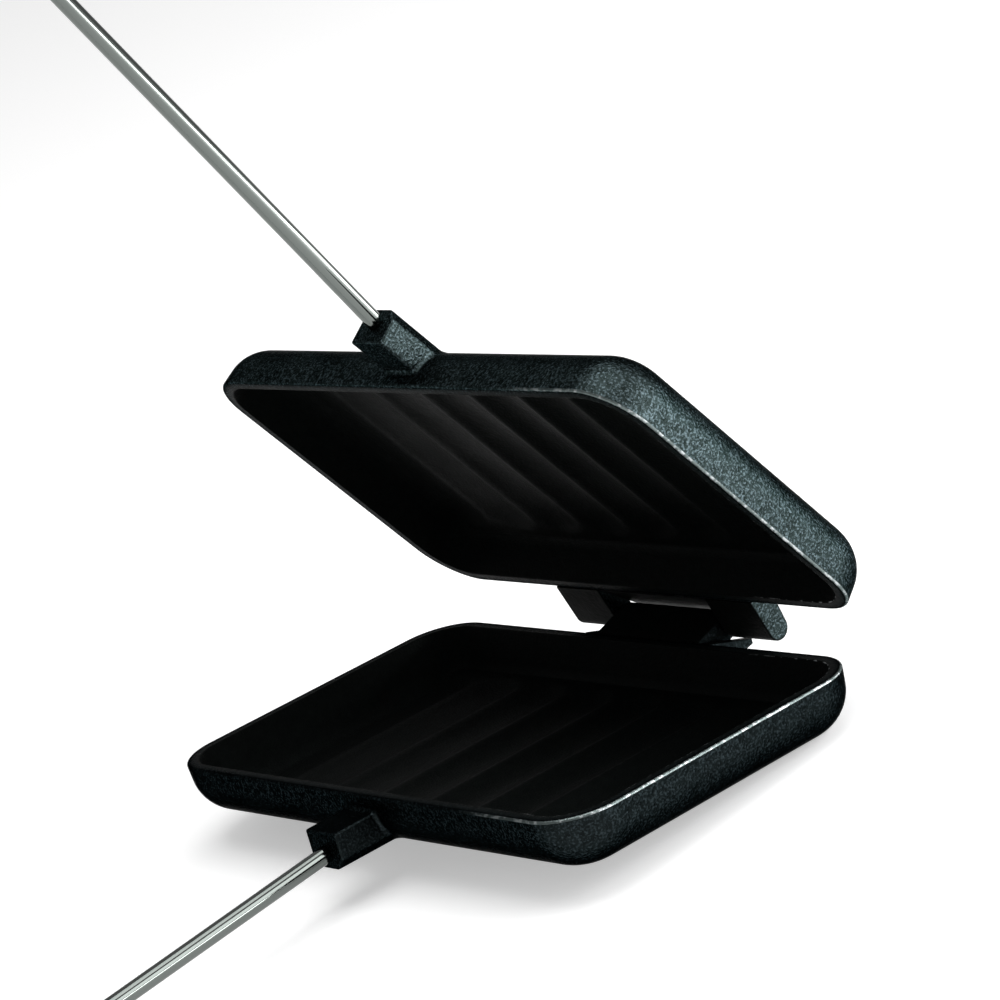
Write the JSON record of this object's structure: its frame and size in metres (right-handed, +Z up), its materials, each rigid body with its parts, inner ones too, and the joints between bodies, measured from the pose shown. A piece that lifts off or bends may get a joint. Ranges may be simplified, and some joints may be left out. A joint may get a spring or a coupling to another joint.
{
  "type": "pie iron",
  "caption": "Long-handled hinged cast-iron pie iron with a wide shallow fluted cavity in each half, for toasting filled sandwiches over a fire.",
  "frame": {"origin": "centre of the overall box at floor level, with the open iron resting on the rear bottom edge of the lower pan and the knob of the lower grip", "axes": "+X across the head, +Y from the grips towards the hinge, +Z up"},
  "size_m": [0.2408, 0.7188, 0.6677],
  "materials": {
    "cast_iron": "sand-cast iron, seasoned black, fine grain with a slight oil sheen",
    "chrome": "bright chrome-plated steel rod",
    "ferrule_steel": "drawn and turned steel, satin",
    "pin_steel": "plain cut steel pin",
    "wood": "turned hardwood, oiled"
  },
  "bodies": {
    "lower_half": {"lower_pan": "cast_iron", "hinge_pin": "pin_steel", "lower_rod": "chrome", "lower_ferrule": "ferrule_steel", "lower_grip": "wood", "lower_grip_pin": "pin_steel"},
    "upper_half": {"upper_pan": "cast_iron", "upper_rod": "chrome", "upper_ferrule": "ferrule_steel", "upper_grip": "wood", "upper_grip_pin": "pin_steel"}
  },
  "joints": [
    {"name": "hinge", "type": "hinge", "parent": "lower_half", "child": "upper_half", "pos_m": [0, 0.35074, 0.01909], "axis": [-1, 0, 0], "range_deg": [-53.8, 126.2]}
  ]
}
